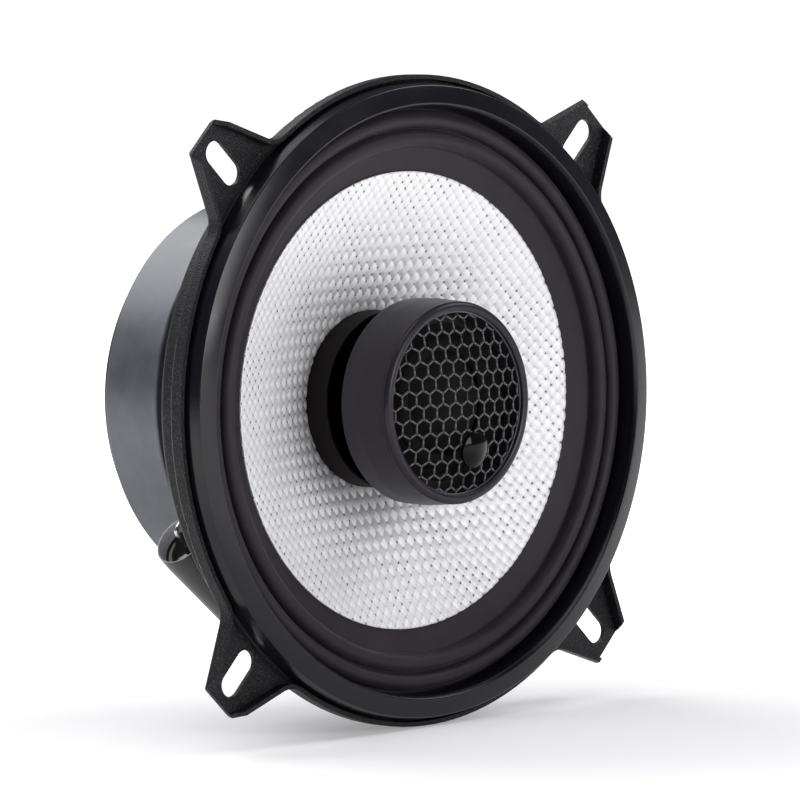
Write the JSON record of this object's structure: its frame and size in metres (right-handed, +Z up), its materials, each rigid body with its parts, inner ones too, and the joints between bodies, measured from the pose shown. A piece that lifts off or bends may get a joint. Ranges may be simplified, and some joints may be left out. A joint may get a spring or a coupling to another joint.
{
  "type": "coaxial car speaker",
  "caption": "Round coaxial car speaker: steel basket with slotted ears, woven cone on a rubber surround, and a dome tweeter behind a honeycomb grille on a centre post.",
  "frame": {"origin": "middle of the flange's rear face, on the speaker's axis, where it seats on the panel", "axes": "+Z up, -Y out of the front of the speaker along its axis, +X to the right seen from the front"},
  "size_m": [0.1292, 0.0741, 0.1292],
  "materials": {
    "basket_steel": "black textured powder coat",
    "plated_steel": "zinc plated",
    "motor_steel": "black passivated",
    "ferrite": "satin grey coat",
    "woven_cone": "resin-bonded glass-fibre weave",
    "former": "dark heat-resistant film",
    "copper": "enamelled copper wire",
    "rubber": "matte",
    "spider_cloth": "phenolic-dipped cloth",
    "trim_plastic": "fine satin grain",
    "post_plastic": "moulded",
    "can_plastic": "satin charcoal",
    "bezel_plastic": "satin charcoal",
    "grille": "gloss black honeycomb",
    "badge": "polished, blank",
    "neodymium": "nickel plated",
    "silk": "coated silk",
    "board": "pressed fibre board",
    "tin_plate": "tinned",
    "capacitor_film": "tape wrap, grey",
    "capacitor_core": "wound film",
    "epoxy": "poured epoxy",
    "lead_wire": "tinned copper",
    "adhesive": "black adhesive",
    "insulation": "wire insulation",
    "tinsel": "braided tinsel"
  },
  "bodies": {
    "chassis": {"basket": "basket_steel", "basket_rivets": "plated_steel", "top_plate": "motor_steel", "magnet": "ferrite", "t_yoke": "motor_steel", "surround": "rubber", "spider": "spider_cloth", "trim_ring": "trim_plastic", "tweeter_post": "post_plastic", "post_nut": "plated_steel", "tweeter_housing": "can_plastic", "tweeter_bezel": "bezel_plastic", "tweeter_grille": "grille", "grille_badge": "badge", "tweeter_pot": "motor_steel", "tweeter_magnet": "neodymium", "tweeter_pole_plate": "motor_steel", "tweeter_faceplate": "post_plastic", "tweeter_surround": "silk", "terminal_board": "board", "terminal_positive": "tin_plate", "terminal_negative": "tin_plate", "terminal_rivets": "plated_steel", "capacitor_wrap": "capacitor_film", "capacitor_roll": "capacitor_core", "capacitor_seals": "epoxy", "capacitor_leads": "lead_wire", "capacitor_adhesive": "adhesive", "tweeter_leads": "insulation", "tinsel_leads": "tinsel"},
    "cone_assembly": {"cone": "woven_cone", "coil_former": "former", "voice_coil": "copper"},
    "dome_assembly": {"tweeter_dome": "silk", "tweeter_coil": "copper"}
  },
  "joints": [
    {"name": "cone_travel", "type": "slide", "parent": "chassis", "child": "cone_assembly", "axis": [0, -1, 0], "range_m": [-0.003, 0.003], "stiffness_N_per_m": 2400, "deforming": ["surround", "spider", "tinsel_leads"]},
    {"name": "tweeter_travel", "type": "slide", "parent": "chassis", "child": "dome_assembly", "axis": [0, -1, 0], "range_m": [-0.00025, 0.00025], "stiffness_N_per_m": 300, "deforming": ["tweeter_surround"]}
  ]
}
